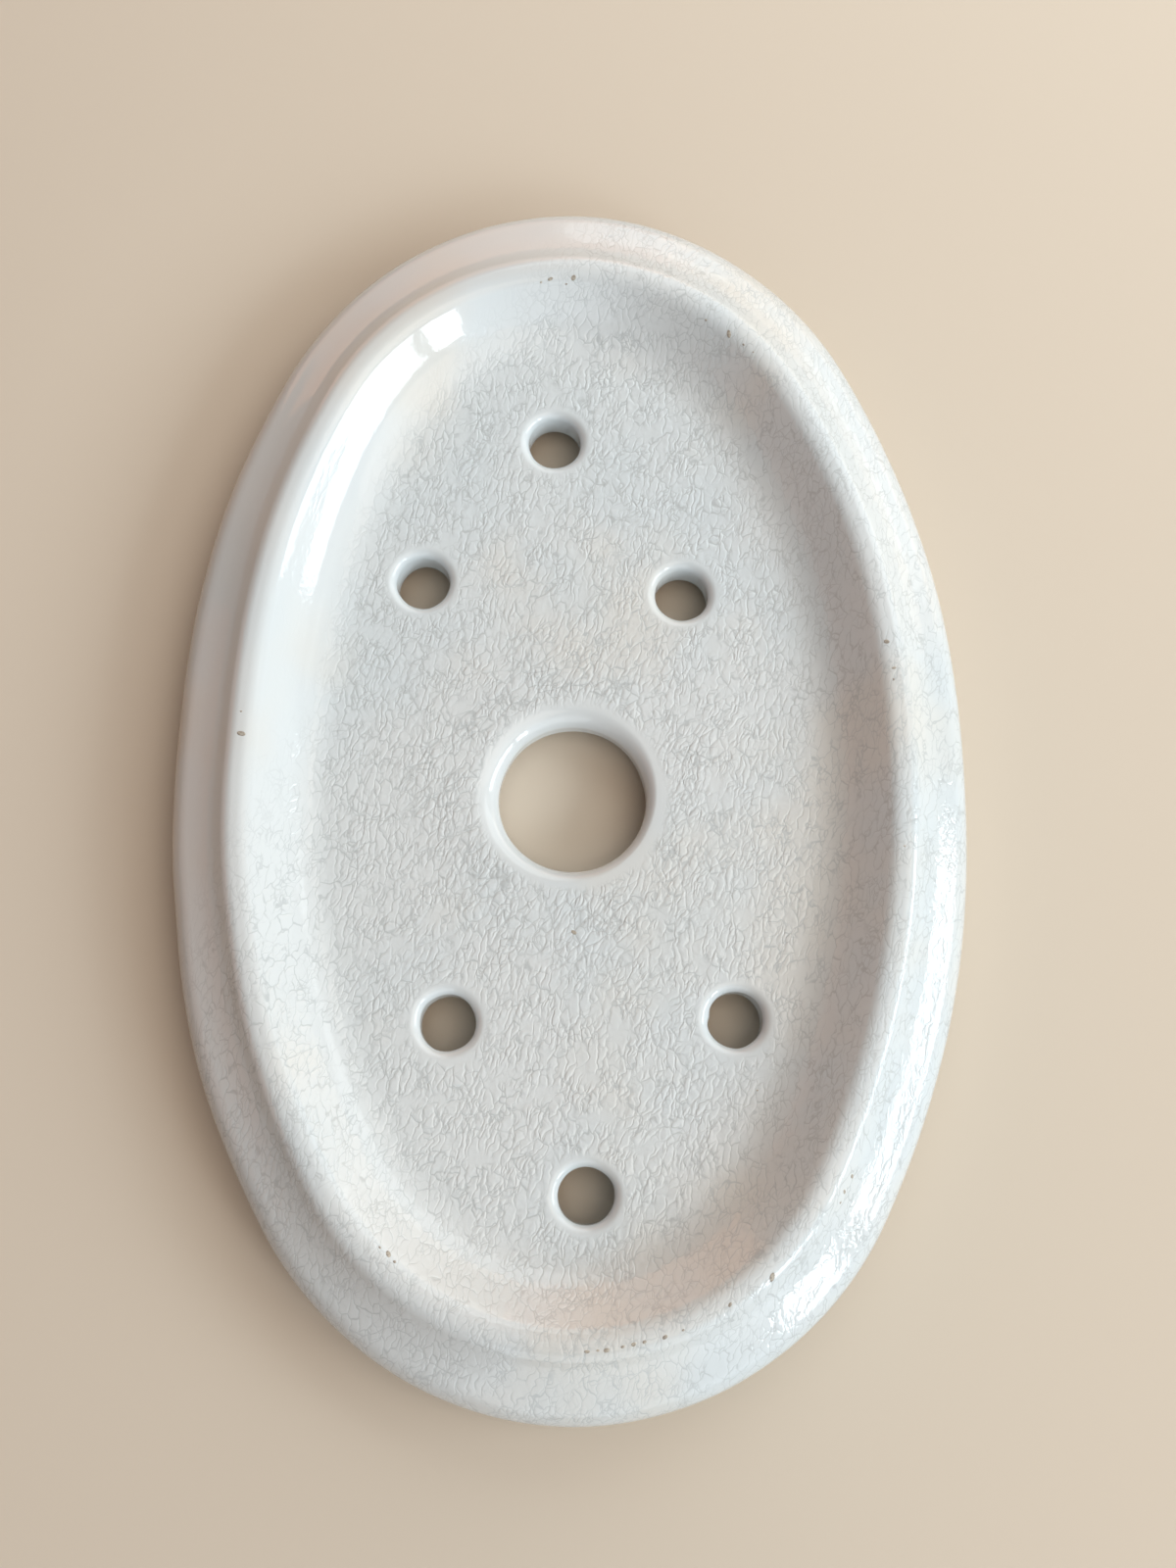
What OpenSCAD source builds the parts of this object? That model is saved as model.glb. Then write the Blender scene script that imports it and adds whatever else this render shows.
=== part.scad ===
// Oval pierced drainer of a glazed ironstone soap dish: a shallow well with a large centre
// hole and six small drain holes, inside a flange that slopes down to a rounded lip.
// Units are millimetres. +Y is the long axis, +Z is up, and the foot stands on Z = 0 with
// the middle of the outline over the origin. All sizes are of the glazed piece.

/* [Outline] */
// Length of the drainer along Y
overall_l = 127; // [118:1:140]
// Width of the drainer along X
overall_w = 82; // [78:1:90]
// Radius of the two ends of the oval outline
end_r = 34; // [32:0.5:36]

/* [Flange] */
// Height of the crest above the table
crest_h = 10.6; // [10:0.1:12]
// Width of the flange at the two sides, from the lip to the edge of the well
flange_side_w = 7.6; // [7.4:0.1:9]
// Width of the flange at the two ends, from the lip to the edge of the well
flange_end_w = 8.6; // [8:0.1:11]
// Distance from the lip to the outer side of the crest
crest_in = 7.2; // [6.8:0.1:7.3]
// Rounding of the crest
crest_r = 1.8; // [1.2:0.1:2.2]
// Radius of the hollow sweep between the lip and the crest
sweep_r = 9; // [7:0.5:14]
// Rounding of the lip above its widest line
lip_top_r = 3.2; // [2.4:0.1:3.4]
// Rounding of the lip below its widest line
lip_under_r = 1.4; // [1:0.1:1.8]

/* [Well] */
// Depth of the well below the crest
well_depth = 5; // [4.4:0.1:5.6]
// Steepest slope of the well's wall, in degrees
well_slope = 50; // [42:1:58]
// Radius of the soft corner between the well's wall and its floor
well_corner_r = 5; // [3:0.5:6]
// Distance by which the well lies off the middle of the outline, along Y
well_shift = -0.4; // [-1.5:0.1:1.5]

/* [Underside] */
// Height of the flange's flat underside above the table
seat_h = 3.2; // [2.8:0.1:3.6]
// Distance from the lip to the outer wall of the foot ring
foot_in = 8.4; // [7:0.1:10]
// Width of the foot ring
foot_w = 3.5; // [2.5:0.1:5]
// Height of the foot ring below the floor's underside
foot_h = 1.4; // [1.3:0.1:1.8]
// Fillet between the seat and the foot ring's outer wall
seat_fillet_r = 2; // [1:0.1:2.1]
// Fillet between the foot ring's inner wall and the floor's underside
recess_fillet_r = 0.6; // [0.4:0.1:0.6]
// Rounding of the foot ring's two standing edges
foot_edge_r = 0.5; // [0.2:0.1:0.5]

/* [Holes] */
// Diameter of the centre hole, inside the glaze
centre_hole_d = 15.3; // [12:0.1:18]
// Rounding of the centre hole's upper edge
centre_mouth_r = 1.6; // [1.2:0.1:2.4]
// Rounding of the centre hole's lower edge
centre_under_r = 0.8; // [0.5:0.1:1]
// Diameter of the six drain holes, inside the glaze
drain_hole_d = 5.6; // [4.5:0.1:6.5]
// Rounding of the drain holes' upper edges
drain_mouth_r = 1; // [0.6:0.1:1.3]
// Rounding of the drain holes' lower edges
drain_under_r = 0.6; // [0.5:0.1:0.9]

/* [Glaze] */
// Thickness of the glaze over the clay
glaze_t = 0.35; // [0.2:0.05:0.45]
// Height of the dry band round the foot, where the glaze was wiped off
dry_h = 0.6; // [0.55:0.05:0.7]

/* [Hidden] */
$fn = 144;

half_l = overall_l / 2;
half_w = overall_w / 2;
floor_h = crest_h - well_depth;
lip_h = seat_h + lip_under_r;
well_half_l = half_l - flange_end_w;
well_half_w = half_w - flange_side_w;
well_end_r = end_r - flange_side_w;

// Run of a cut past the surface it starts from, and of one part into its neighbour
overrun = 3;
// Largest angle between two points of a rounded stretch in a section
arc_step = 12;
// Angle by which an oval's sides run on past the middle before they are cut off there
lap_a = 5;
// Radii and sections are rounded to this step, so that the arcs of an oval meet face to face
step = 0.001;

// Place of the centre hole, as shares of the well's half width and half length
centre_place_share = [0.01, -0.039];
// Places of the six drain holes in the same shares: punched by hand, so not quite even
drain_place_shares = [
    [-0.04, 0.676], [-0.46, 0.388], [0.36, 0.358],
    [-0.37, -0.456], [0.49, -0.456], [0.04, -0.764],
];

// Points of an arc about a centre, from one angle to another
function arc_points(centre, radius, from, to) =
    let (steps = ceil(abs(to - from) / arc_step))
    [for (k = [0 : steps]) let (a = from + (to - from) * k / steps)
        centre + radius * [cos(a), sin(a)]];

function direction(from, to) = atan2(to[1] - from[1], to[0] - from[0]);

// Point at one distance from p and another distance from q, on the left of the way p to q
function meeting_point(p, q, from_p, from_q) =
    let (d = norm(q - p), ahead = (from_p ^ 2 - from_q ^ 2 + d ^ 2) / (2 * d),
         aside = sqrt(from_p ^ 2 - ahead ^ 2), e = (q - p) / d)
    p + ahead * e + aside * [-e[1], e[0]];

// The clay's standing edge, rounded down to the table, for a skin of that thickness
function standing_foot(skin) = concat(
    arc_points([foot_in + skin + foot_edge_r, foot_edge_r], foot_edge_r, 180, 270),
    arc_points([foot_in + foot_w - skin - foot_edge_r, foot_edge_r], foot_edge_r, 270, 360));

// The level at which the glaze stops on both walls of the foot ring
wiped_foot = [[foot_in, dry_h], [foot_in + foot_w, dry_h]];

// Section through the rim, as points [distance in from the outline, height], from the
// crest over the lip and along the underside to the floor, with the foot that is given.
// It lies the given skin inside the finished surface.
function rim_section(skin, foot) =
    let (lip = [lip_top_r, lip_h],
         crest = [crest_in, crest_h - crest_r],
         sweep = meeting_point(lip, crest, sweep_r + lip_top_r, sweep_r + crest_r))
    concat(
        arc_points(crest, crest_r - skin, 90, direction(crest, sweep)),
        arc_points(sweep, sweep_r + skin, direction(sweep, crest), direction(sweep, lip)),
        arc_points(lip, lip_top_r - skin, direction(lip, sweep), 180 - arc_step),
        arc_points([lip_under_r, lip_h], lip_under_r - skin, 180, 270),
        arc_points([foot_in - seat_fillet_r, seat_h - seat_fillet_r], seat_fillet_r + skin, 90, 0),
        foot,
        arc_points([foot_in + foot_w + recess_fillet_r, foot_h - recess_fillet_r],
            recess_fillet_r + skin, 180, 90));

// Section of the well, as points [distance in from the well's edge, height], from above
// the crest down the wall to the floor
function well_section(skin) =
    let (rounds = crest_r + well_corner_r,
         straight = (well_depth - rounds * (1 - cos(well_slope))) / tan(well_slope),
         corner = [rounds * sin(well_slope) + straight, floor_h + well_corner_r])
    concat(
        [[0, crest_h + overrun]],
        arc_points([0, crest_h - crest_r], crest_r - skin, 90, 90 - well_slope),
        arc_points(corner, well_corner_r + skin, 270 - well_slope, 270));

// Section of a hole, as points [distance from its axis, height]
function hole_section(radius, mouth_r, under_r, skin) = concat(
    [[0, crest_h], [radius + mouth_r, crest_h]],
    arc_points([radius + mouth_r, floor_h - mouth_r], mouth_r - skin, 90, 180),
    arc_points([radius + under_r, foot_h + under_r], under_r - skin, 180, 270),
    [[radius + under_r, -overrun], [0, -overrun]]);

function snap(length) = step * round(length / step);

// One sector of an oval: the section turned about the centre of its arc, and filled in to
// the reach, measured from the outline
module sector(radius, reach, section, from, sweep) {
    filled = concat([[reach, section[0][1]]], section, [[reach, section[len(section) - 1][1]]]);
    rotate_extrude(angle = sweep, start = from)
        polygon([for (p = filled) [radius - snap(p[0]), p[1]]]);
}

// A quarter of an oval of four arcs: its end and its side meet on the line through both
// centres, where their tangents agree, and what lies past the two axes is cut off
module oval_quarter(to_end, to_side, tip_r, section) {
    side_r = snap((to_side ^ 2 + (to_end - tip_r) ^ 2 - tip_r ^ 2) / (2 * (to_side - tip_r)));
    side_a = asin((to_end - tip_r) / (side_r - tip_r));
    intersection() {
        translate([0, to_end - tip_r, 0]) rotate([0, 0, side_a]) {
            sector(tip_r, tip_r, section, 0, 180);
            translate([tip_r - side_r, 0, 0])
                sector(side_r, to_side + overrun, section, -side_a - lap_a, side_a + lap_a);
        }
        translate([0, 0, -overrun]) cube([to_side + overrun, to_end + overrun, to_end]);
    }
}

// A section carried round the whole oval
module oval_sweep(to_end, to_side, tip_r, section) {
    for (flip_x = [0, 1], flip_y = [0, 1])
        mirror([flip_x, 0, 0]) mirror([0, flip_y, 0])
            oval_quarter(to_end, to_side, tip_r, section);
}

module hole(place_share, diameter, mouth_r, under_r, skin) {
    translate([place_share[0] * well_half_w, place_share[1] * well_half_l, 0])
        rotate_extrude() polygon(hole_section(diameter / 2, mouth_r, under_r, skin));
}

// The whole drainer, lying the given skin inside its finished surface, on the given foot
module drainer(skin, foot) {
    difference() {
        oval_sweep(half_l, half_w, end_r, rim_section(skin, foot));
        translate([0, well_shift, 0]) {
            oval_sweep(well_half_l, well_half_w, well_end_r, well_section(skin));
            hole(centre_place_share, centre_hole_d, centre_mouth_r, centre_under_r, skin);
            for (place = drain_place_shares)
                hole(place, drain_hole_d, drain_mouth_r, drain_under_r, skin);
        }
    }
}

module clay_body() {
    color("#DDD3C0") drainer(glaze_t, standing_foot(glaze_t));
}

module glaze_coat() {
    color("#E6ECEC") difference() {
        drainer(0, wiped_foot);
        drainer(glaze_t, standing_foot(glaze_t));
    }
}

clay_body();
glaze_coat();
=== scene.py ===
"""Looks of an oval soap drainer of crazed, glazed ironstone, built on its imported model.

Sizes in the classes are millimetres, except where they are said to be in m. Meshes are in metres,
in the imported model's frame: +Y lies along the oval, +Z is up, and the foot ring stands on Z = 0
under the middle of the outline.
"""

import logging
import math
from dataclasses import dataclass
from enum import Enum

import bmesh
import bpy
from mathutils import Matrix, Vector, noise
from mathutils.bvhtree import BVHTree

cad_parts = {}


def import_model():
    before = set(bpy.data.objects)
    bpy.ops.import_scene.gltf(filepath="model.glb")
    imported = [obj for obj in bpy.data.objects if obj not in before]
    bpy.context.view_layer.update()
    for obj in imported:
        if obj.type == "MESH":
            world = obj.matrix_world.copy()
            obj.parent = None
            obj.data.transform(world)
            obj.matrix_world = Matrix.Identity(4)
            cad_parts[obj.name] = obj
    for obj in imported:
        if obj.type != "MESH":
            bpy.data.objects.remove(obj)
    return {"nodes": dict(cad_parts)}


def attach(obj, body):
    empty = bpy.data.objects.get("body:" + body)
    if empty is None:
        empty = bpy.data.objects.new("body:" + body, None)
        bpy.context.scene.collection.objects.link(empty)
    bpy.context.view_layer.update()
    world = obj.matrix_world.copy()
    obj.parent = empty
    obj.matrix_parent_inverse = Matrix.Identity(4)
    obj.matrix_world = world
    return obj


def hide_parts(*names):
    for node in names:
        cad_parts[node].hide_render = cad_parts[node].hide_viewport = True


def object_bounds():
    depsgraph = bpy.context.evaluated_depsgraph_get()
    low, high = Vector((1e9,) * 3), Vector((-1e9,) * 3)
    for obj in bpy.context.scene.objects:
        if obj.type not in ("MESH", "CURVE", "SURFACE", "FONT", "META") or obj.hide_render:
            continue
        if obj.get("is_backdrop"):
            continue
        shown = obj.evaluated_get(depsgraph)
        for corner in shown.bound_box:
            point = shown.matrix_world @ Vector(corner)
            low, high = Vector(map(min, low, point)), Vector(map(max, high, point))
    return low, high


frame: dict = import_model()

LOG = logging.getLogger("soap_drainer")
MM = 0.001
# Distance in metres under which two places count as one
NEAR = 0.001 * MM
# Largest angles between two points of a section's wide, small and hidden arcs, in degrees
WIDE_STEP, SMALL_STEP, HIDDEN_STEP = 6.0, 9.0, 15.0
# Layer that numbers a strip's points along its section
POINT_LAYER = "profile_point"
# Numbers of the colour sockets of a Mix node
MIX_FACTOR, MIX_A, MIX_B, MIX_RESULT = 0, 6, 7, 2
# Middle of the values that a noise texture's colour takes
NOISE_MIDDLE = (0.5, 0.5, 0.5)
# Setting of a node whose value fades in and out smoothly
SMOOTH = {"interpolation_type": "SMOOTHSTEP"}

Point2 = tuple[float, float]
Tree = bpy.types.NodeTree
Socket = bpy.types.NodeSocket


class Slot(Enum):
    """The record's material slots."""

    CLAY = "fired_clay"
    GLAZE = "glaze"


def smooth_step(low: float, high: float, value: float) -> float:
    """Rises smoothly from 0 at low to 1 at high.

    Args:
        low: value at which the rise starts.
        high: value at which the rise ends.
        value: the value to place between them.

    Returns:
        A share from 0 to 1.
    """
    t = min(1.0, max(0.0, (value - low) / (high - low)))
    return t * t * (3 - 2 * t)


def arc(
    centre: Point2, radius: float, start: float, stop: float, step: float = WIDE_STEP
) -> list[Point2]:
    """Points along an arc of a section, both ends included.

    Args:
        centre: centre of the arc, in mm.
        radius: radius of the arc, in mm.
        start: first angle, in degrees.
        stop: last angle, in degrees.
        step: largest angle between two points, in degrees.

    Returns:
        The arc's points in order.
    """
    count = max(1, math.ceil(abs(stop - start) / step))
    angles = [math.radians(start + (stop - start) * k / count) for k in range(count + 1)]
    return [(centre[0] + radius * math.cos(a), centre[1] + radius * math.sin(a)) for a in angles]


def bearing(start: Point2, end: Point2) -> float:
    """Angle in degrees of the way from one point to another."""
    return math.degrees(math.atan2(end[1] - start[1], end[0] - start[0]))


def along_line(start: Point2, end: Point2, count: int) -> list[Point2]:
    """Points that divide a straight stretch, without its two ends.

    Args:
        start: first end of the stretch.
        end: last end of the stretch.
        count: number of points between the ends.

    Returns:
        The points in order.
    """
    shares = [(k + 1) / (count + 1) for k in range(count)]
    across, up = end[0] - start[0], end[1] - start[1]
    return [(start[0] + across * s, start[1] + up * s) for s in shares]


@dataclass(frozen=True)
class Oval:
    """An oval of four arcs, as the mould's template was struck with compasses.

    Attributes:
        half_l: half its length along Y, in mm.
        half_w: half its width along X, in mm.
        end_r: radius of its two ends, in mm.
        middle_y: its middle on the Y axis, in mm.
    """

    half_l: float
    half_w: float
    end_r: float
    middle_y: float = 0.0

    @property
    def side_r(self) -> float:
        """Radius of the two long sides, in mm."""
        reach = self.half_l - self.end_r
        return (self.half_w**2 + reach**2 - self.end_r**2) / (2 * (self.half_w - self.end_r))

    @property
    def side_angle(self) -> float:
        """Half the angle that a side arc spans, in radians."""
        return math.atan2(self.half_l - self.end_r, self.side_r - self.half_w)

    def quarter(self, length: float) -> tuple[Vector, Vector]:
        """Point and outward normal on the first quarter, by the way gone from the +X side.

        Args:
            length: way gone along the oval from its +X point, in mm.

        Returns:
            The point, in mm, and the unit normal.
        """
        side_length = self.side_r * self.side_angle
        if length <= side_length:
            angle = length / self.side_r
            centre = Vector((self.half_w - self.side_r, 0))
            radius = self.side_r
        else:
            angle = self.side_angle + (length - side_length) / self.end_r
            centre = Vector((0, self.half_l - self.end_r))
            radius = self.end_r
        normal = Vector((math.cos(angle), math.sin(angle)))
        return centre + radius * normal, normal

    @property
    def quarter_length(self) -> float:
        """Length of a quarter of the oval, in mm."""
        return self.side_r * self.side_angle + self.end_r * (math.pi / 2 - self.side_angle)

    def station(self, share: float) -> tuple[Vector, Vector]:
        """Point and outward normal at a share of the way round, from +X towards +Y.

        Args:
            share: share of the way round, from 0 to 1.

        Returns:
            The point, in mm, and the unit normal.
        """
        quarters = (share % 1.0) * 4
        index = int(quarters)
        way = quarters - index
        flip = Vector((1 if index in (0, 3) else -1, 1 if index in (0, 1) else -1))
        point, normal = self.quarter((1 - way if index % 2 else way) * self.quarter_length)
        return Vector((point.x * flip.x, point.y * flip.y + self.middle_y)), normal * flip

    def inside_by(self, point: Vector) -> float:
        """How far a point lies inside the oval.

        Args:
            point: the point, in mm.

        Returns:
            The distance in mm, below 0 outside the oval.
        """
        x, y = abs(point.x), abs(point.y - self.middle_y)
        to_side = self.half_w - self.side_r
        to_end = self.half_l - self.end_r
        if (x - to_side) * to_end + y * to_side > 0:
            return self.side_r - math.hypot(x - to_side, y)
        return self.end_r - math.hypot(x, y - to_end)


@dataclass(frozen=True)
class Wobble:
    """A hand-finished edge: how far it strays from its template, by bearing.

    Attributes:
        strays: pairs of bearing, in degrees from +X towards +Y, and distance outwards, in mm.
    """

    strays: tuple[Point2, ...]

    def at(self, angle: float) -> float:
        """Distance by which the edge strays at a bearing.

        Args:
            angle: the bearing, in degrees.

        Returns:
            The distance outwards, in mm.
        """
        marks = sorted(self.strays)
        marks = [(marks[-1][0] - 360, marks[-1][1])] + marks + [(marks[0][0] + 360, marks[0][1])]
        angle = (angle - marks[0][0]) % 360 + marks[0][0]
        for (a, stray_a), (b, stray_b) in zip(marks, marks[1:]):
            if a <= angle <= b:
                return stray_a + (stray_b - stray_a) * smooth_step(a, b, angle)
        return marks[0][1]


@dataclass(frozen=True)
class Lump:
    """A run of glaze that set inside a hole and narrows it.

    Attributes:
        angle: bearing from the hole's axis, in degrees.
        spread: half the angle that it covers, in degrees.
        height: how far it stands into the hole, in mm.
        level: height above the table at which it is thickest, in mm.
        reach: half its height along the wall, in mm.
    """

    angle: float
    spread: float
    height: float
    level: float
    reach: float

    def at(self, angle: float, level: float) -> float:
        """How far it stands in at a bearing and a level, in mm."""
        turn = (angle - self.angle + 180) % 360 - 180
        return self.height * math.exp(
            -((turn / self.spread) ** 2) - ((level - self.level) / self.reach) ** 2
        )


@dataclass(frozen=True)
class Hole:
    """A round hole, punched in the soft clay and rounded by its glaze.

    Attributes:
        place_share: its place in half widths and half lengths of the well.
        diameter: its width inside the glaze, in mm.
        mouth_r: rounding of its upper edge, in mm.
        under_r: rounding of its lower edge, in mm.
        lean: share by which the upper edge's rounding runs wider on one side.
        lean_angle: bearing of that side, in degrees.
        margin: width of the flat ring that is made with it, in mm.
        segments: number of sides all round.
        uneven: how far its wall strays from round, in mm.
        lumps: runs of glaze inside it.
    """

    place_share: Point2
    diameter: float = 5.6
    mouth_r: float = 1.0
    under_r: float = 0.6
    lean: float = 0.0
    lean_angle: float = 150.0
    margin: float = 0.7
    segments: int = 56
    uneven: float = 0.12
    lumps: tuple[Lump, ...] = ()

    @property
    def radius(self) -> float:
        """Radius inside the glaze, in mm."""
        return self.diameter / 2

    @property
    def mouth_reach(self) -> float:
        """Radius at which the floor is flat again, in mm."""
        return self.radius + self.mouth_r

    def section(self, floor_h: float, foot_h: float) -> list[Point2]:
        """Section from the floor round the mouth, down the wall and out along the underside.

        Args:
            floor_h: height of the floor, in mm.
            foot_h: height of the floor's underside, in mm.

        Returns:
            Points of distance from the axis and height, in mm.
        """
        mouth = arc((self.mouth_reach, floor_h - self.mouth_r), self.mouth_r, 90, 180, SMALL_STEP)
        under_reach = self.radius + self.under_r
        under = arc((under_reach, foot_h + self.under_r), self.under_r, 180, 270, HIDDEN_STEP)
        flat = self.mouth_reach + self.margin
        return (
            [(flat, floor_h)]
            + along_line((flat, floor_h), mouth[0], count=2)
            + mouth
            + along_line(mouth[-1], under[0], count=4)
            + under
            + [(under_reach + self.margin, foot_h)]
        )


@dataclass(frozen=True)
class DrainerSizes:
    """Sizes of the glazed piece, in mm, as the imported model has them.

    Attributes:
        half_l: half the overall length.
        half_w: half the overall width.
        crest_h: height of the crest above the table.
        end_r: radius of the outline's ends.
        flange_side_w: width of the flange at the sides, to the well's edge.
        flange_end_w: width of the flange at the ends, to the well's edge.
        crest_in: distance from the lip to the outer side of the crest.
        crest_r: rounding of the crest's outer side.
        crest_inner_r: rounding of the crest's inner side.
        sweep_r: radius of the hollow between crest and lip.
        lip_top_r: rounding of the lip above its widest line.
        lip_under_r: rounding of the lip below it.
        well_depth: depth of the floor below the crest.
        well_slope: steepest slope of the well's wall, in degrees.
        well_corner_r: radius of the soft corner at the floor.
        soft_corner_r: the same where the wall was smoothed most.
        well_shift: how far the well lies off the middle, along Y.
        seat_h: height of the flange's underside.
        foot_in: distance from the lip to the foot ring.
        foot_w: width of the foot ring.
        foot_h: height of the floor's underside.
        seat_fillet_r: fillet outside the foot ring.
        recess_fillet_r: fillet inside the foot ring.
        glaze_t: thickness of the glaze.
        dry_h: height of the dry band round the foot.
    """

    half_l: float
    half_w: float
    crest_h: float
    end_r: float = 34.0
    flange_side_w: float = 7.6
    flange_end_w: float = 8.6
    crest_in: float = 7.2
    crest_r: float = 1.8
    crest_inner_r: float = 2.2
    sweep_r: float = 9.0
    lip_top_r: float = 3.2
    lip_under_r: float = 1.4
    well_depth: float = 5.0
    well_slope: float = 45.0
    well_corner_r: float = 5.4
    soft_corner_r: float = 9.6
    well_shift: float = -0.4
    seat_h: float = 3.2
    foot_in: float = 8.4
    foot_w: float = 3.5
    foot_h: float = 1.4
    seat_fillet_r: float = 2.0
    recess_fillet_r: float = 0.6
    glaze_t: float = 0.35
    dry_h: float = 0.6

    @classmethod
    def from_frame(cls) -> "DrainerSizes":
        """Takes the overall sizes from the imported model.

        Returns:
            The sizes, in mm.
        """
        low, high = (Vector(corner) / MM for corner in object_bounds())
        return cls(half_l=(high.y - low.y) / 2, half_w=(high.x - low.x) / 2, crest_h=high.z)

    @property
    def floor_h(self) -> float:
        """Height of the well's floor, in mm."""
        return self.crest_h - self.well_depth

    @property
    def outline(self) -> Oval:
        """The outline at the lip's widest line."""
        return Oval(self.half_l, self.half_w, self.end_r)

    @property
    def well(self) -> Oval:
        """The edge of the well."""
        end_r = self.end_r - self.flange_side_w
        half_l, half_w = self.half_l - self.flange_end_w, self.half_w - self.flange_side_w
        return Oval(half_l, half_w, end_r, self.well_shift)

    def rim_section(self, corner_r: float) -> list[Point2]:
        """Section from the floor's edge over the crest and the lip to the dry line on the foot.

        Args:
            corner_r: radius of the soft corner at the floor, in mm.

        Returns:
            Points of distance in from the outline and height, in mm, as many for any corner.
        """
        lip = (self.lip_top_r, self.seat_h + self.lip_under_r)
        crest = (self.crest_in, self.crest_h - self.crest_r)
        sweep = self.sweep_centre(lip, crest)
        edge = (self.flange_side_w, self.crest_h - self.crest_inner_r)
        slope = math.radians(self.well_slope)
        rounds = self.crest_inner_r + corner_r
        straight = (self.well_depth - rounds * (1 - math.cos(slope))) / math.tan(slope)
        corner_x = edge[0] + rounds * math.sin(slope) + straight
        corner = (corner_x, self.floor_h + corner_r)
        wall_low = arc(corner, corner_r, 270, 270 - self.well_slope)
        wall_high = arc(edge, self.crest_inner_r, 90 - self.well_slope, 90)
        crest_out = arc(crest, self.crest_r, 90, bearing(crest, sweep))
        hollow = arc(sweep, self.sweep_r, bearing(sweep, crest), bearing(sweep, lip))
        lip_top = arc(lip, self.lip_top_r, bearing(lip, sweep), 180, SMALL_STEP)
        lip_under = arc((self.lip_under_r, lip[1]), self.lip_under_r, 180, 270, HIDDEN_STEP)
        fillet_x = self.foot_in - self.seat_fillet_r
        fillet_z = self.seat_h - self.seat_fillet_r
        fillet = arc((fillet_x, fillet_z), self.seat_fillet_r, 90, 0, HIDDEN_STEP)
        return (
            wall_low
            + along_line(wall_low[-1], wall_high[0], count=3)
            + wall_high
            + crest_out
            + hollow[1:]
            + lip_top[1:]
            + lip_under[1:]
            + along_line(lip_under[-1], fillet[0], count=4)
            + fillet
            + [(self.foot_in, self.dry_h)]
        )

    def recess_section(self) -> list[Point2]:
        """Section from the dry line inside the foot ring to the floor's underside.

        Returns:
            Points of distance in from the outline and height, in mm.
        """
        wall = self.foot_in + self.foot_w
        centre = (wall + self.recess_fillet_r, self.foot_h - self.recess_fillet_r)
        return [(wall, self.dry_h)] + arc(centre, self.recess_fillet_r, 180, 90, HIDDEN_STEP)

    def sweep_centre(self, lip: Point2, crest: Point2) -> Point2:
        """Centre of the hollow's arc, which touches the lip's and the crest's from outside.

        Args:
            lip: centre of the lip's rounding, in mm.
            crest: centre of the crest's rounding, in mm.

        Returns:
            The centre, in mm.
        """
        to_lip, to_crest = self.sweep_r + self.lip_top_r, self.sweep_r + self.crest_r
        way = Vector((crest[0] - lip[0], crest[1] - lip[1]))
        ahead = (to_lip**2 - to_crest**2 + way.length_squared) / (2 * way.length)
        aside = math.sqrt(to_lip**2 - ahead**2)
        along = way.normalized()
        across = Vector((-along.y, along.x))
        point = Vector(lip) + along * ahead + across * aside
        return point.x, point.y


def add_piece(name: str, shape: bmesh.types.BMesh) -> bpy.types.Object:
    """Adds a smooth object to the scene.

    Args:
        name: its name, and its mesh's.
        shape: its shape, in metres, which stays as it is.

    Returns:
        The object.
    """
    mesh = bpy.data.meshes.new(name)
    shape.to_mesh(mesh)
    mesh.shade_smooth()
    piece = bpy.data.objects.new(name, mesh)
    bpy.context.scene.collection.objects.link(piece)
    return piece


@dataclass(frozen=True)
class RimPlace:
    """Where a section of the rim stands, and how it differs there from the template.

    Attributes:
        point: point of the outline, in mm.
        normal: direction outwards.
        widening: how much wider the flange is than at the sides, in mm.
        outline_stray: how far the outline strays outwards, in mm.
        crest_stray: how far the well's edge strays outwards, in mm.
        softness: share by which the corner at the floor is softer, from 0 to 1.
    """

    point: Vector
    normal: Vector
    widening: float
    outline_stray: float
    crest_stray: float
    softness: float


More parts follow.
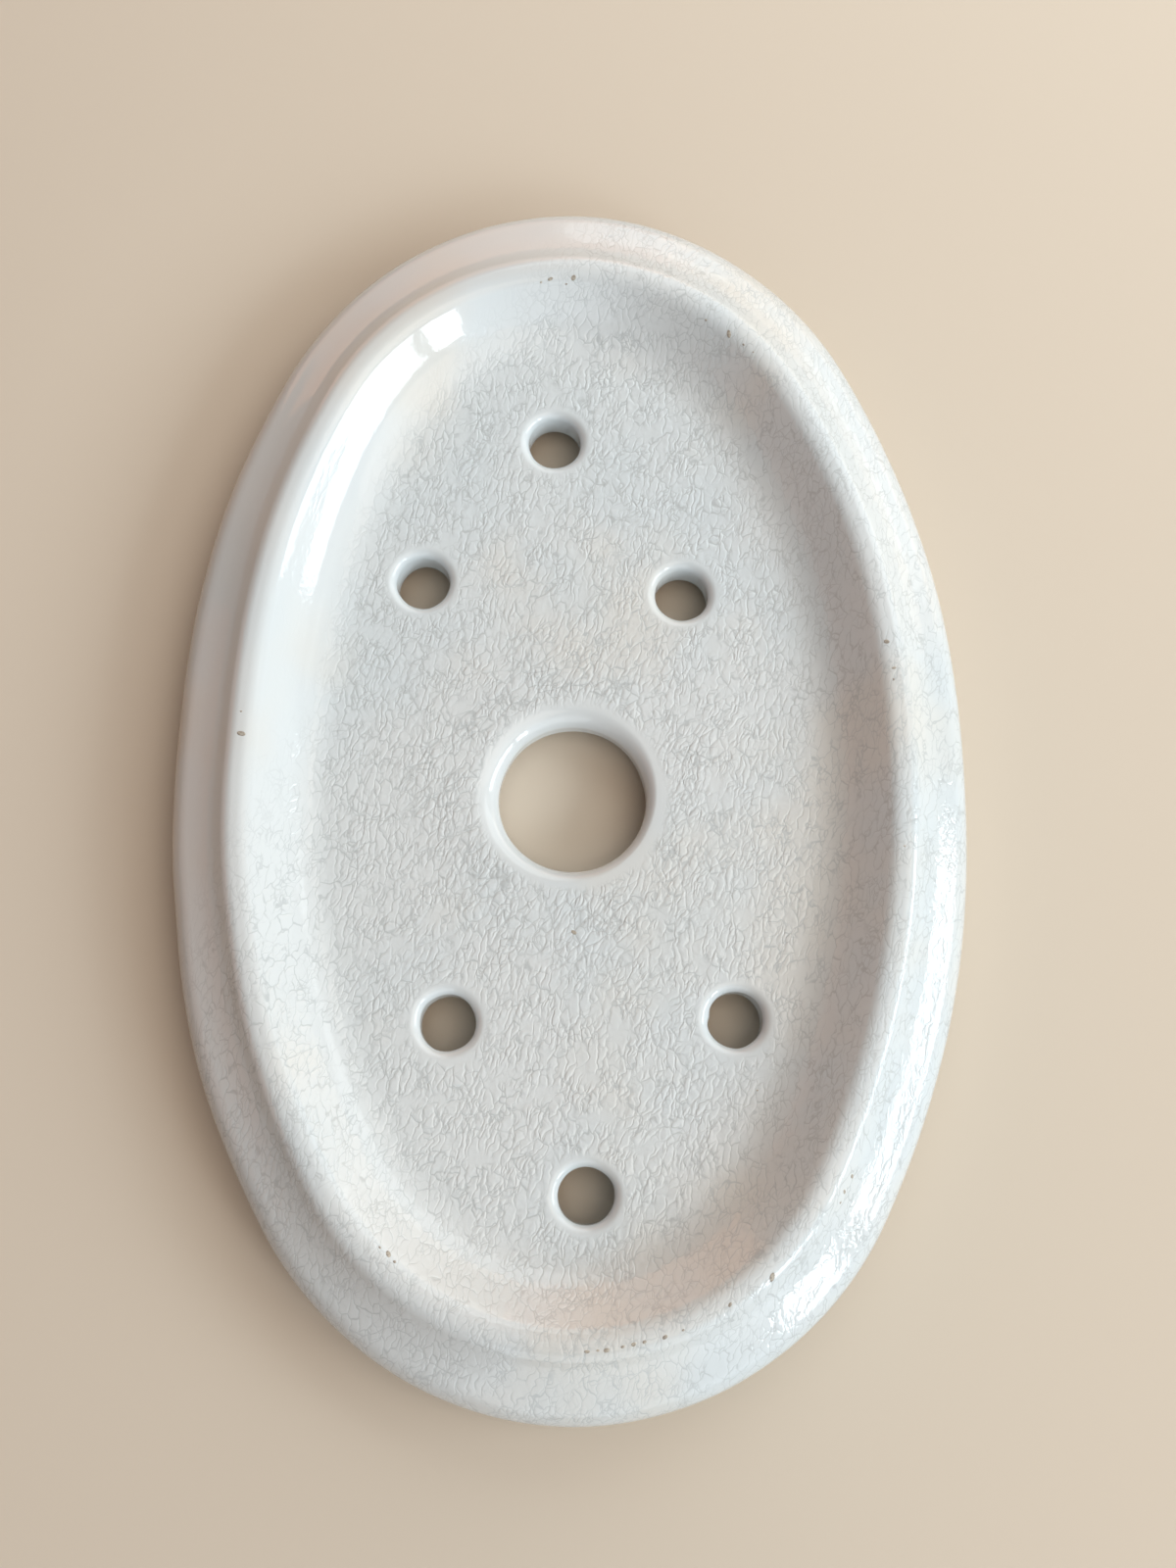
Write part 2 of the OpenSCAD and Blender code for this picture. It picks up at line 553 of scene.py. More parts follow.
@dataclass
class GlazeCoat:
    """The glaze over the whole drainer, a shell open round the standing foot.

    Attributes:
        sizes: sizes of the glazed piece.
        stations: number of steps round the oval.
        turn_r: radius at which a section is turned before it is stretched to the oval, in mm.
        edge_halvings: number of halvings by which the well's edge is found.
        flange_band: distances in from the outline between which a flange is stretched, in mm.
        floor_grain: longest edge of the floor's triangles, in mm.
        fill_rounds: number of times that the floor's triangles are split and evened.
        outline_wobble: how the outline strays from its template.
        crest_wobble: how the well's edge strays from its template.
        softness: share by which the corner at the floor is softer, by bearing.
        waves: wavelength and height of the glaze's unevenness, in mm.
        uneven_rate: how fast a hole's unevenness changes round its wall.
        uneven_height: height over which it changes as much as over one radian, in mm.
        uneven_apart: distance in the noise between the unevenness of two holes.
        holes: the seven holes.
    """

    sizes: DrainerSizes
    stations: int = 288
    turn_r: float = 60.0
    edge_halvings: int = 30
    flange_band: Point2 = (2.0, 6.6)
    floor_grain: float = 1.6
    fill_rounds: int = 8
    outline_wobble: Wobble = Wobble((
        (0, -0.2), (30, 0.0), (65, -0.25), (88, 0.35), (118, -0.15), (140, 0.1),
        (175, -0.35), (196, 0.0), (218, 0.55), (248, -0.25), (275, 0.0), (325, 0.3),
    ))
    crest_wobble: Wobble = Wobble((
        (0, 0.0), (35, 0.4), (62, 0.0), (92, 0.0), (135, 0.2), (172, -0.5),
        (200, 0.0), (220, 0.3), (250, 0.0), (305, 0.4),
    ))
    softness: Wobble = Wobble((
        (0, 0.0), (50, 0.3), (90, 0.5), (125, 1.0), (155, 0.8), (182, 0.1), (215, 0.3), (250, 0.0),
    ))
    waves: tuple[Point2, ...] = ((9.0, 0.035), (3.6, 0.012))
    uneven_rate: float = 1.3
    uneven_height: float = 6.0
    uneven_apart: float = 7.0
    holes: tuple[Hole, ...] = (
        Hole((0.01, -0.039), 15.3, 1.9, 0.8, lean=0.5, margin=2.4, segments=112, uneven=0.15),
        Hole((-0.04, 0.676)),
        Hole((-0.46, 0.388)),
        Hole((0.36, 0.358)),
        Hole((-0.37, -0.456), uneven=0.1),
        Hole((0.49, -0.456), lumps=(Lump(172, 14, 0.35, 3.6, 1.2), Lump(215, 18, 0.25, 2.6, 1.0))),
        Hole((0.04, -0.764), uneven=0.08),
    )

    def build(self, face: bmesh.types.BMesh) -> bpy.types.Object:
        """Gives the glaze's outer face its thickness.

        Args:
            face: the outer face, which stays as it is.

        Returns:
            The glaze as an object, with its place in its mesh.
        """
        coat = add_piece("crazed_glaze_coat", face)
        wall = coat.modifiers.new("glaze_thickness", "SOLIDIFY")
        wall.thickness = self.sizes.glaze_t * MM
        wall.offset = -1
        return coat

    def outer_face(self) -> bmesh.types.BMesh:
        """Joins the rim, the recess and the holes with the floor's two faces.

        Returns:
            The glaze's outer face, open along the dry line on both sides of the foot.
        """
        sizes = self.sizes
        face = bmesh.new()
        tight, soft = sizes.rim_section(sizes.well_corner_r), sizes.rim_section(sizes.soft_corner_r)
        self.append(face, self.oval_strip(tight, soft))
        self.append(face, self.oval_strip(sizes.recess_section(), sizes.recess_section()))
        for index, hole in enumerate(self.holes):
            self.append(face, self.hole_strip(hole, index))
        for level in (sizes.floor_h, sizes.foot_h):
            self.append(face, self.floor_face(face, level))
        bmesh.ops.remove_doubles(face, verts=face.verts[:], dist=NEAR)
        bmesh.ops.recalc_face_normals(face, faces=face.faces[:])
        self.ripple(face)
        return face

    def append(self, face: bmesh.types.BMesh, strip: bmesh.types.BMesh) -> None:
        """Adds one strip's mesh to the face and frees the strip."""
        mesh = bpy.data.meshes.new("strip")
        strip.to_mesh(mesh)
        strip.free()
        face.from_mesh(mesh)
        bpy.data.meshes.remove(mesh)

    def turned(self, profile: list[Point2], steps: int) -> bmesh.types.BMesh:
        """Turns an open profile all the way round the Z axis, and numbers its points.

        Args:
            profile: points of distance from the axis and height, in mm.
            steps: number of steps all round.

        Returns:
            The turned strip, in metres.
        """
        strip = bmesh.new()
        point_index = strip.verts.layers.int.new(POINT_LAYER)
        verts = [strip.verts.new((x * MM, 0, z * MM)) for x, z in profile]
        for index, vert in enumerate(verts):
            vert[point_index] = index
        edges = [strip.edges.new(pair) for pair in zip(verts, verts[1:])]
        bmesh.ops.spin(
            strip, geom=verts + edges, cent=(0, 0, 0), axis=(0, 0, 1), dvec=(0, 0, 0),
            angle=math.tau, steps=steps, use_merge=True, use_duplicate=False,
        )
        return strip

    def oval_strip(self, tight: list[Point2], soft: list[Point2]) -> bmesh.types.BMesh:
        """Turns a section of the rim and stretches the round strip to the oval.

        Args:
            tight: points of distance in from the outline and height, in mm.
            soft: the same points where the corner at the floor is softest.

        Returns:
            The strip in its place.
        """
        strip = self.turned([(self.turn_r - inset, z) for inset, z in tight], self.stations)
        point_index = strip.verts.layers.int[POINT_LAYER]
        places = [self.rim_place(k / self.stations) for k in range(self.stations)]
        top_from, top_to = self.sizes.seat_h, self.sizes.seat_h + self.sizes.lip_under_r
        for vert in strip.verts:
            share = (math.atan2(vert.co.y, vert.co.x) / math.tau) % 1.0
            at = places[round(share * self.stations) % self.stations]
            number = vert[point_index]
            inset, z = Vector(tight[number]).lerp(Vector(soft[number]), at.softness)
            stretch = (at.widening - at.crest_stray) * smooth_step(*self.flange_band, inset)
            stretch *= smooth_step(top_from, top_to, z)
            stretch -= at.outline_stray * (1 - smooth_step(0, self.flange_band[1], inset))
            place = at.point - at.normal * (inset + stretch)
            vert.co = Vector((place.x, place.y, z)) * MM
        return strip

    def rim_place(self, share: float) -> RimPlace:
        """Finds where a section of the rim stands at a share of the way round.

        Args:
            share: share of the way round, from +X towards +Y.

        Returns:
            The section's place.
        """
        point, normal = self.sizes.outline.station(share)
        angle = math.degrees(math.atan2(point.y, point.x))
        near, far = 0.0, self.sizes.flange_end_w * 2
        for _ in range(self.edge_halvings):
            middle = (near + far) / 2
            if self.sizes.well.inside_by(point - normal * middle) < 0:
                near = middle
            else:
                far = middle
        return RimPlace(
            point, normal, near - self.sizes.flange_side_w, self.outline_wobble.at(angle),
            self.crest_wobble.at(angle), self.softness.at(angle),
        )

    def hole_strip(self, hole: Hole, index: int) -> bmesh.types.BMesh:
        """Turns a hole's section, makes it uneven and sets it in its place.

        Args:
            hole: the hole.
            index: its number, which gives it an unevenness of its own.

        Returns:
            The strip in its place.
        """
        centre = self.hole_centre(hole)
        strip = self.turned(hole.section(self.sizes.floor_h, self.sizes.foot_h), hole.segments)
        for vert in strip.verts:
            radius = math.hypot(vert.co.x, vert.co.y) / MM
            angle = math.degrees(math.atan2(vert.co.y, vert.co.x))
            level = vert.co.z / MM
            at_wall = 1 - smooth_step(hole.radius, hole.mouth_reach + hole.margin / 2, radius)
            past_wall = min(max(0.0, radius - hole.radius), hole.mouth_r) / hole.mouth_r
            flat_from = 1 - smooth_step(hole.mouth_reach, hole.mouth_reach + hole.margin, radius)
            turn, lean_turn = math.radians(angle), math.radians(angle - hole.lean_angle)
            lean = hole.lean * math.cos(lean_turn) * past_wall * flat_from
            height = level / self.uneven_height + index * self.uneven_apart
            spot = Vector((math.cos(turn), math.sin(turn), height))
            stray = hole.uneven * noise.noise(spot * self.uneven_rate)
            lumps = sum(lump.at(angle, level) for lump in hole.lumps)
            scale = 1 + ((stray - lumps) * at_wall + lean * hole.mouth_r) / radius
            vert.co.x = vert.co.x * scale + centre.x * MM
            vert.co.y = vert.co.y * scale + centre.y * MM
        LOG.info("hole %d, %.1f mm wide, at %.1f, %.1f mm", index, hole.diameter, *centre)
        return strip

    def hole_centre(self, hole: Hole) -> Vector:
        """Finds a hole's axis.

        Args:
            hole: the hole.

        Returns:
            Its place, in mm.
        """
        well = self.sizes.well
        across, along = hole.place_share
        return Vector((across * well.half_w, along * well.half_l + well.middle_y))

    def floor_face(self, face: bmesh.types.BMesh, level: float) -> bmesh.types.BMesh:
        """Fills a level face of the floor between the rim and the holes, with even triangles.

        Args:
            face: the glaze's outer face so far, whose open loops at the level bound the fill.
            level: height of the face, in mm.

        Returns:
            The fill.
        """
        fill = bmesh.new()
        copies: dict[bmesh.types.BMVert, bmesh.types.BMVert] = {}
        for edge in face.edges:
            if edge.is_boundary and all(abs(v.co.z - level * MM) < NEAR for v in edge.verts):
                for vert in edge.verts:
                    if vert not in copies:
                        copies[vert] = fill.verts.new(vert.co)
                fill.edges.new([copies[v] for v in edge.verts])
        bmesh.ops.triangle_fill(fill, use_beauty=True, edges=fill.edges[:], normal=(0, 0, 1))
        for _ in range(self.fill_rounds):
            inner = [e for e in fill.edges if not e.is_boundary]
            long = [e for e in inner if e.calc_length() > self.floor_grain * MM]
            if not long:
                break
            bmesh.ops.subdivide_edges(fill, edges=long, cuts=1)
            bmesh.ops.triangulate(fill, faces=fill.faces[:])
            inner = [e for e in fill.edges if not e.is_boundary]
            bmesh.ops.beautify_fill(fill, faces=fill.faces[:], edges=inner)
            loose = [v for v in fill.verts if not v.is_boundary]
            bmesh.ops.smooth_vert(fill, verts=loose, factor=0.5, use_axis_x=True, use_axis_y=True)
        LOG.info("floor face at %.1f mm: %d triangles", level, len(fill.faces))
        return fill

    def ripple(self, face: bmesh.types.BMesh) -> None:
        """Raises and lowers the glaze a little, as it ran and pooled in the fire.

        Args:
            face: the glaze's outer face, changed in place.
        """
        face.normal_update()
        for vert in face.verts:
            spot = vert.co / MM
            above = smooth_step(self.sizes.dry_h, self.sizes.foot_h, spot.z)
            rise = sum(height * noise.noise(spot / length) for length, height in self.waves)
            vert.co += vert.normal * (rise * above * MM)


@dataclass
class ClayBody:
    """The clay under the glaze, standing on its bare foot ring.

    Attributes:
        sizes: sizes of the glazed piece.
        foot_edge_r: rounding of the foot ring's two standing edges, in mm.
        foot_segments: number of faces across that rounding.
        wall_rise: rise of a normal under which a face of the foot counts as its wall.
    """

    sizes: DrainerSizes
    foot_edge_r: float = 0.5
    foot_segments: int = 5
    wall_rise: float = 0.5

    def build(self, face: bmesh.types.BMesh) -> bpy.types.Object:
        """Sinks the glaze's outer face by the glaze's thickness and stands it on a foot.

        Args:
            face: the glaze's outer face, which stays as it is.

        Returns:
            The clay body as an object, with its place in its mesh.
        """
        body = face.copy()
        body.normal_update()
        for vert in body.verts:
            vert.co -= vert.normal * self.sizes.glaze_t * MM
        dry_line = [edge for edge in body.edges if edge.is_boundary]
        for vert in {vert for edge in dry_line for vert in edge.verts}:
            vert.co.z = self.sizes.dry_h * MM
        ring = bmesh.ops.bridge_loops(body, edges=dry_line)["faces"]
        foot = bmesh.ops.extrude_face_region(body, geom=ring)["geom"]
        bmesh.ops.delete(body, geom=ring, context="FACES_ONLY")
        standing = [item for item in foot if isinstance(item, bmesh.types.BMVert)]
        bmesh.ops.translate(body, verts=standing, vec=(0, 0, -self.sizes.dry_h * MM))
        edges = [item for item in foot if isinstance(item, bmesh.types.BMEdge)]
        corners = [
            edge for edge in edges
            if any(abs(near.normal.z) < self.wall_rise for near in edge.link_faces)
        ]
        bmesh.ops.recalc_face_normals(body, faces=body.faces[:])
        bmesh.ops.bevel(
            body, geom=corners, offset=self.foot_edge_r * MM, segments=self.foot_segments,
            profile=0.5, affect="EDGES", material=-1,
        )
        clay = add_piece("bisque_clay_body", body)
        body.free()
        return clay


@dataclass(frozen=True)
class Pit:
    """A burst bubble or speck in the glaze, seen from above.

    Attributes:
        x: its place across, in mm.
        y: its place along, in mm.
        width: its width, in mm.
        stretch: its length over its width.
        turn: direction of its length, in degrees.
    """

    x: float
    y: float
    width: float
    stretch: float = 1.4
    turn: float = 0.0


@dataclass
class GlazePits:
    """Small burst bubbles along the crest and on the floor, darkened by soap and dust.

    Attributes:
        pits: the pits, by place.
        height: how far a pit's filling stands out of the glaze, in mm.
        above: height over the table from which the glaze below a pit is looked for, in mm.
    """

    pits: tuple[Pit, ...] = (
        Pit(-1.6, 53.3, 0.35, 1.8, 20), Pit(0.9, 53.4, 0.5, 1.3, 60), Pit(-2.6, 53.0, 0.2),
        Pit(0.1, 52.9, 0.2), Pit(17.4, 46.6, 0.45, 2.0, -40), Pit(15.0, 48.3, 0.22),
        Pit(18.9, 45.3, 0.22), Pit(19.9, 44.4, 0.15), Pit(-32.8, 3.1, 0.5, 1.8, 80),
        Pit(-32.9, 5.4, 0.18), Pit(32.4, 12.1, 0.45, 1.3, 70), Pit(33.0, 9.3, 0.28, 1.6, 90),
        Pit(32.9, 8.1, 0.2), Pit(33.1, -9.0, 0.18), Pit(-17.2, -47.2, 0.45, 1.5, -30),
        Pit(-16.6, -47.9, 0.28, 1.2, 10), Pit(-18.0, -46.6, 0.22), Pit(1.3, -56.0, 0.3, 1.8, 0),
        Pit(2.3, -55.9, 0.22), Pit(3.1, -55.9, 0.4, 1.5, 5), Pit(4.6, -55.6, 0.25, 1.6, 10),
        Pit(5.6, -55.4, 0.35, 1.4, 15), Pit(6.6, -55.2, 0.3, 1.4, 15),
        Pit(8.5, -54.8, 0.35, 1.6, 20), Pit(10.2, -54.2, 0.2), Pit(26.6, -40.6, 0.35, 1.4, 55),
        Pit(25.8, -42.0, 0.3, 1.7, 50), Pit(25.4, -43.0, 0.2), Pit(18.6, -49.6, 0.5, 1.8, 35),
        Pit(14.6, -52.0, 0.3, 1.6, 30), Pit(0.35, -16.6, 0.4, 1.5, -35), Pit(18.3, -32.4, 0.16),
    )
    height: float = 0.03
    above: float = 30.0

    def build(self, face: bmesh.types.BMesh) -> bpy.types.Object:
        """Sets each pit's filling on the glaze below its place.

        Args:
            face: the glaze's outer face.

        Returns:
            The fillings, as one object.
        """
        tree = BVHTree.FromBMesh(face)
        fillings = bmesh.new()
        for pit in self.pits:
            over = Vector((pit.x, pit.y, self.above)) * MM
            place, normal, _, _ = tree.ray_cast(over, Vector((0, 0, -1)))
            stand = normal.to_track_quat("Z", "Y").to_matrix().to_4x4()
            turn = Matrix.Rotation(math.radians(pit.turn), 4, "Z")
            half = pit.width / 2 * MM
            shape = Matrix.Diagonal((half * pit.stretch, half, self.height * MM, 1))
            matrix = Matrix.Translation(place) @ stand @ turn @ shape
            bmesh.ops.create_icosphere(fillings, subdivisions=2, radius=1, matrix=matrix)
        pits = add_piece("glaze_pits", fillings)
        fillings.free()
        return pits


def linear(code: str) -> tuple[float, float, float, float]:
    """Turns an sRGB colour to the linear values that Blender takes.

    Args:
        code: the colour as six hex digits after a #.

    Returns:
        Red, green, blue and an alpha of 1.
    """
    parts = [int(code[k : k + 2], 16) / 255 for k in (1, 3, 5)]
    values = [c / 12.92 if c <= 0.04045 else ((c + 0.055) / 1.055) ** 2.4 for c in parts]
    return values[0], values[1], values[2], 1.0


def add_node(
    tree: Tree, kind: str, inputs: dict | tuple, out: int | str = 0, **settings: object
) -> Socket:
    """Adds a node with its settings, values and links.

    Args:
        tree: the node tree.
        kind: the node's type, without the ShaderNode at the start of its name.
        inputs: by socket name or number, or in order, a value or the output that feeds it.
        out: name or number of the output that is wanted.
        settings: the node's own settings.

    Returns:
        That output.
    """
    node = tree.nodes.new("ShaderNode" + kind)
    for name, value in settings.items():
        setattr(node, name, value)
    for key, value in inputs.items() if isinstance(inputs, dict) else enumerate(inputs):
        if isinstance(value, Socket):
            tree.links.new(value, node.inputs[key])
        else:
            node.inputs[key].default_value = value
    return node.outputs[out]


def new_material(name: str, roughness: float) -> tuple[bpy.types.Material, Tree, bpy.types.Node]:
    """Starts a material.

    Args:
        name: the finish's name.
        roughness: its roughness.

    Returns:
        The material, its node tree and its surface shader.
    """
    material = bpy.data.materials.new(name)
    material.use_nodes = True
    surface = material.node_tree.nodes["Principled BSDF"]
    surface.inputs["Roughness"].default_value = roughness
    return material, material.node_tree, surface


def lay_tints(tree: Tree, base: str, tints: tuple[tuple[str, Socket], ...]) -> Socket:
    """Lays tints over a colour, one after the other.

    Args:
        tree: the node tree.
        base: the colour below them.
        tints: each tint with the share of it that shows.

    Returns:
        The colour that is seen.
    """
    colour = linear(base)
    for tint, share in tints:
        inputs = {MIX_FACTOR: share, MIX_A: colour, MIX_B: linear(tint)}
        colour = add_node(tree, "Mix", inputs, MIX_RESULT, data_type="RGBA")
    return colour


def place_in_mm(tree: Tree) -> Socket:
    """Place on the piece, in mm, in its own coordinates."""
    coords = add_node(tree, "TexCoord", (), "Object")
    return add_node(tree, "VectorMath", {0: coords, "Scale": 1 / MM}, operation="SCALE")


def from_axis(tree: Tree, place: Socket, axis: Vector) -> Socket:
    """Distance of the place from an upright axis, in mm."""
    flat = add_node(tree, "VectorMath", (place, (1, 1, 0)), operation="MULTIPLY")
    return add_node(tree, "VectorMath", (flat, (*axis, 0)), "Value", operation="DISTANCE")


@dataclass(frozen=True)
class Patches:
    """Soft patches.

    Attributes:
        size: size of a patch, in mm.
        ends: values of the noise at which a patch starts and is full.
        strength: share that a full patch has.
        detail: how much finer noise a patch's edge has.
        fade: Blender's name of the way in which a patch fades in.
    """

    size: float
    ends: Point2
    strength: float = 1.0
    detail: float = 2.0
    fade: str = "SMOOTHSTEP"

    def draw(self, tree: Tree, place: Socket) -> Socket:
        """Draws the patches.

        Args:
            tree: the node tree.
            place: the place on the piece, in mm.

        Returns:
            The patches as a share from 0 to the strength.
        """
        inputs = {"Vector": place, "Scale": 1 / self.size, "Detail": self.detail}
        cloud = add_node(tree, "TexNoise", inputs, "Fac")
        inputs = (cloud, *self.ends, 0.0, self.strength)
        return add_node(tree, "MapRange", inputs, interpolation_type=self.fade)


@dataclass(frozen=True)
class CrazeNet:
    """One net of hairline cracks in the glaze.

    A real hairline is a few hundredths of a millimetre wide. It is drawn coarser, about 0.1 mm
    wide, about as broad as the photograph shows it, in a groove that is wider still.

    Attributes:
        cell: width and length of a cell, in mm.
        turn: direction of the cells' length from the long axis, in degrees.
        line: share of a cell that a hairline covers on each of its sides.
        wander: how far the hairlines wander, in mm.
        groove: width of the groove along a hairline, over the hairline's own.
        broad: size of the broad wandering over a cell's length, and its reach over the wander.
        close: size of the close wandering over a cell's width.
        squeeze: width of a cell over its height on a steep wall.
    """

    cell: Point2
    turn: float
    line: float
    wander: float
    groove: float = 3.5
    broad: float = 2.5
    close: float = 1.3
    squeeze: float = 0.6

    def draw(self, tree: Tree, place: Socket) -> tuple[Socket, Socket]:
        """Draws the net.

        Args:
            tree: the node tree.
            place: the place on the piece, in mm.

        Returns:
            The hairlines as a share from 0 to 1, and the height from 0 in a groove to 1 between.
        """
        width, length = self.cell
        broad = (length * self.broad, self.wander * self.broad)
        moved = place
        for size, reach in (broad, (width * self.close, self.wander)):
            inputs = {"Vector": place, "Scale": 1 / size, "Detail": 1.0}
            cloud = add_node(tree, "TexNoise", inputs, "Color")
            drift = add_node(tree, "VectorMath", (cloud, NOISE_MIDDLE), operation="SUBTRACT")
            inputs = {0: drift, "Scale": reach * 2}
            drift = add_node(tree, "VectorMath", inputs, operation="SCALE")
            moved = add_node(tree, "VectorMath", (moved, drift), operation="ADD")
        inputs = {"Vector": moved, "Angle": math.radians(self.turn)}
        turned = add_node(tree, "VectorRotate", inputs, rotation_type="Z_AXIS")
        rates = (1 / width, 1 / length, self.squeeze / width)
        scaled = add_node(tree, "VectorMath", (turned, rates), operation="MULTIPLY")
        inputs = {"Vector": scaled, "Scale": 1.0, "Randomness": 1.0}
        edge = add_node(tree, "TexVoronoi", inputs, "Distance", feature="DISTANCE_TO_EDGE")
        line = add_node(tree, "MapRange", (edge, 0.0, self.line, 1.0, 0.0), **SMOOTH)
        height = add_node(tree, "MapRange", (edge, 0.0, self.line * self.groove), **SMOOTH)
        return line, height


@dataclass(frozen=True)
class CrazedGlaze:
    """Crazed lead glaze over ironstone: dipped, fired to a gloss, and cracked as it aged.

    The eye sees a glossy bluish white, a net of hairlines that run mostly along the piece and fade
    in and out, each with a slight relief, squarer cracks in a ring round the centre hole, and a
    smooth uncracked ring at the mouth of every hole.

    Attributes:
        white: colour of the glaze over the clay.
        blue: colour where the glaze lies thicker.
        cream: colour where soap and age have stained it.
        crack: colour of the hairlines.
        speck: colour of the specks.
        blue_patches: where it lies thicker.
        cream_patches: where it is stained.
        long_net: the net all over the piece.
        fine_net: the finer net between its lines.
        ring_net: the squarer net round the centre hole.
        long_patches: where the long net shows.
        fine_patches: where the fine net shows.
        ring_patches: where the squarer net shows.
        ring_ends: radii between which it fades in, from inside and from outside, in mm.
        floor_reach: half width and half length of the floor, past which the net is faint, in mm.
        floor_edge: share of that reach at which it starts to fade.
        whole_way: way over the rim, across and along, from its whole side to its cracked side.
        whole_to: places on that way where the rim's cracks start and where they are full, in mm.
        rim_lines: share of the hairlines that shows on the rim's whole and on its cracked side.
        rim_grooves: share of their relief there.
        mouth_ring: edges of the smooth ring past a hole's mouth, in mm.
        line_depth: depth of a hairline, in mm.
        cell_height: height of a cell over its hairlines, in mm.
        speck_gap: typical distance between two places for a speck, in mm.
        speck_r: radius of a speck, in mm.
        speck_draws: draws from which a place starts to hold a speck and holds a full one.
        roughness: roughness of the glaze.
        ior: how strongly the glaze bends light.
    """

    white: str = "#D5DADC"
    blue: str = "#D0D8DC"
    cream: str = "#DAD5CC"
    crack: str = "#B2B8BA"
    speck: str = "#5A5550"
    blue_patches: Patches = Patches(24.0, (0.4, 0.65))
    cream_patches: Patches = Patches(17.0, (0.5, 0.75), 0.5)
    long_net: CrazeNet = CrazeNet((0.85, 2.8), 14, 0.06, 0.45)
    fine_net: CrazeNet = CrazeNet((0.7, 1.6), 24, 0.07, 0.4)
    ring_net: CrazeNet = CrazeNet((1.2, 2.2), 36, 0.055, 0.3)
    long_patches: Patches = Patches(2.0, (0.3, 0.55), 0.8)
    fine_patches: Patches = Patches(2.8, (0.4, 0.6), 0.7)
    ring_patches: Patches = Patches(6.0, (0.4, 0.55), 0.8)
    ring_ends: tuple[Point2, Point2] = ((9.6, 11.1), (19.5, 15.5))
    floor_reach: Point2 = (27.5, 54.0)
    floor_edge: float = 0.84
    whole_way: Point2 = (1.0, -0.5)
    whole_to: Point2 = (-34.0, -22.0)
    rim_lines: Point2 = (0.0, 0.85)
    rim_grooves: Point2 = (0.07, 0.32)
    mouth_ring: Point2 = (-0.3, 0.7)
    line_depth: float = 0.005
    cell_height: float = 0.038
    speck_gap: float = 8.0
    speck_r: float = 0.12
    speck_draws: Point2 = (0.6, 0.65)
    roughness: float = 0.07
    ior: float = 1.52

    def material(self, coat: GlazeCoat) -> bpy.types.Material:
        """Builds the glaze's material.

        Args:
            coat: the glaze's shape, which says where its holes are.

        Returns:
            The material.
        """
        material, tree, surface = new_material("crazed_ironstone_glaze", self.roughness)
        place = place_in_mm(tree)
        lines, cells = self.cracks(tree, place, coat)
        tints = (
            (self.blue, self.blue_patches.draw(tree, place)),
            (self.cream, self.cream_patches.draw(tree, place)),
            (self.crack, lines),
            (self.speck, self.specks(tree, place)),
        )
        tree.links.new(lay_tints(tree, self.white, tints), surface.inputs["Base Color"])
        surface.inputs["IOR"].default_value = self.ior
        sunk = add_node(tree, "Math", (lines, -self.line_depth), operation="MULTIPLY")
        inputs = (cells, self.cell_height, sunk)
        height = add_node(tree, "Math", inputs, operation="MULTIPLY_ADD")
        bump = add_node(tree, "Bump", {"Height": height, "Strength": 1.0, "Distance": MM})
        tree.links.new(bump, surface.inputs["Normal"])
        return material

    def cracks(self, tree: Tree, place: Socket, coat: GlazeCoat) -> tuple[Socket, Socket]:
        """Joins the three nets, each where it shows.

        Args:
            tree: the node tree.
            place: the place on the piece, in mm.
            coat: the glaze's shape.

        Returns:
            The hairlines as a share from 0 to 1, and the height of the cells between them, where
            1 is a cell's own.
        """
        away = from_axis(tree, place, coat.hole_centre(coat.holes[0]))
        in_ring = self.ring_patches.draw(tree, place)
        for ends in self.ring_ends:
            share = add_node(tree, "MapRange", (away, *ends))
            in_ring = add_node(tree, "Math", (in_ring, share), operation="MULTIPLY")
        lines = cells = 0.0
        for net, share in (
            (self.long_net, self.long_patches.draw(tree, place)),
            (self.fine_net, self.fine_patches.draw(tree, place)),
            (self.ring_net, in_ring),
        ):
            line, height = net.draw(tree, place)
            line = add_node(tree, "Math", (line, share), operation="MULTIPLY")
            lines = add_node(tree, "Math", (line, lines), operation="MAXIMUM")
            cells = add_node(tree, "Math", (height, share, cells), operation="MULTIPLY_ADD")
        clear = self.past_mouths(tree, place, coat)
        shown = []
        for pattern, ends in ((lines, self.rim_lines), (cells, self.rim_grooves)):
            for share in (clear, self.over_rim(tree, place, ends)):
                pattern = add_node(tree, "Math", (pattern, share), operation="MULTIPLY")
            shown.append(pattern)
        return shown[0], shown[1]

    def over_rim(self, tree: Tree, place: Socket, ends: Point2) -> Socket:
        """Fades a pattern from the floor over the rim.

        Args:
            tree: the node tree.
            place: the place on the piece, in mm.
            ends: share of the pattern on the rim's whole and on its cracked side.

        Returns:
            The share that shows, from 0 to 1.
        """
        rates = (1 / self.floor_reach[0], 1 / self.floor_reach[1], 0)
        reached = add_node(tree, "VectorMath", (place, rates), operation="MULTIPLY")
        out = add_node(tree, "VectorMath", (reached,), "Value", operation="LENGTH")
        inputs = (place, (*self.whole_way, 0))
        way = add_node(tree, "VectorMath", inputs, "Value", operation="DOT_PRODUCT")
        rim = add_node(tree, "MapRange", (way, *self.whole_to, *ends), **SMOOTH)
        return add_node(tree, "MapRange", (out, self.floor_edge, 1.0, 1.0, rim), **SMOOTH)

